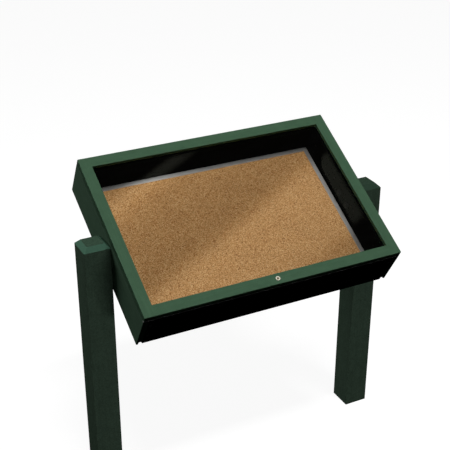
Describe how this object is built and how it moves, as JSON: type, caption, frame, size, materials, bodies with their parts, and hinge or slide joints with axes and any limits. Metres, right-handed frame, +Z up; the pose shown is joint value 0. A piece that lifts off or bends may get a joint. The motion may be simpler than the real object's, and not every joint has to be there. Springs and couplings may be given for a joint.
{
  "type": "lockable notice board",
  "caption": "Sloping lectern notice board: shallow glazed case with a top-hung lockable door and cork tack board, hung between two square posts.",
  "frame": {"origin": "on the ground line, midway between the two posts' centre lines", "axes": "+X along the board to the right of someone reading it, +Y away from the reader, +Z up"},
  "size_m": [1.09, 0.6074, 1.7023],
  "materials": {
    "post_green": "dark green through-coloured plastic lumber, matt, faint streaks along its length, brighter freshly milled bevels",
    "case_green": "green through-coloured plastic board, matt, fine grained",
    "door_green": "green through-coloured plastic board, satin matt, fine orange-peel grain",
    "case_black": "black through-coloured plastic board, matt",
    "cap_black": "black plastic plugs",
    "backing_fibreboard": "brown fibreboard",
    "cork": "fine grained natural cork, warm tan",
    "trim_aluminium": "satin anodised extrusion",
    "weather_seal": "grey closed-cell foam strip",
    "glazing_tape": "black foam tape",
    "clear_pane": "clear polished sheet",
    "hinge_steel": "plain stainless strip, lengthwise brushed",
    "black_fasteners": "black coated steel",
    "bright_fasteners": "plain stainless steel",
    "lock_body_metal": "pale brass, polished head",
    "lock_plug_metal": "darker brass with a keyway",
    "plated_steel": "zinc plated steel"
  },
  "bodies": {
    "case_and_posts": {"left_post": "post_green", "right_post": "post_green", "post_lag_screws": "black_fasteners", "post_washers": "black_fasteners", "left_side_board": "case_green", "right_side_board": "case_green", "left_liner_board": "case_black", "right_liner_board": "case_black", "top_board": "case_black", "bottom_board": "case_black", "back_panel": "case_black", "liner_screws": "black_fasteners", "corner_screws": "black_fasteners", "corner_screw_caps": "cap_black", "back_panel_screws": "bright_fasteners", "tack_board_screws": "bright_fasteners", "tack_backing_board": "backing_fibreboard", "cork_sheet": "cork", "trim_channel_top": "trim_aluminium", "trim_channel_bottom": "trim_aluminium", "trim_channel_left": "trim_aluminium", "trim_channel_right": "trim_aluminium", "left_weather_seal": "weather_seal", "right_weather_seal": "weather_seal", "bottom_weather_seal": "weather_seal", "keeper_plate": "plated_steel", "keeper_screws": "bright_fasteners", "hinge_case_leaf": "hinge_steel", "hinge_case_screws": "bright_fasteners", "hinge_pin": "hinge_steel"},
    "door": {"door_top_rail": "door_green", "door_bottom_rail": "door_green", "door_left_stile": "door_green", "door_right_stile": "door_green", "door_corner_screws": "bright_fasteners", "pane": "clear_pane", "glazing_tape": "glazing_tape", "pane_screws": "bright_fasteners", "hinge_door_leaf": "hinge_steel", "hinge_door_screws": "bright_fasteners", "lock_body": "lock_body_metal", "lock_nut": "plated_steel"},
    "lock_turning_parts": {"lock_plug": "lock_plug_metal", "lock_cam": "plated_steel", "cam_screw": "plated_steel"}
  },
  "joints": [
    {"name": "door_hinge", "type": "hinge", "parent": "case_and_posts", "child": "door", "pos_m": [0, 0.24143, 1.07649], "axis": [-1, 0, 0], "range_deg": [0, 190]},
    {"name": "lock_turn", "type": "hinge", "parent": "door", "child": "lock_turning_parts", "pos_m": [0, -0.27468, 0.78083], "axis": [0, 0.5, -0.866], "range_deg": [0, 90]}
  ]
}
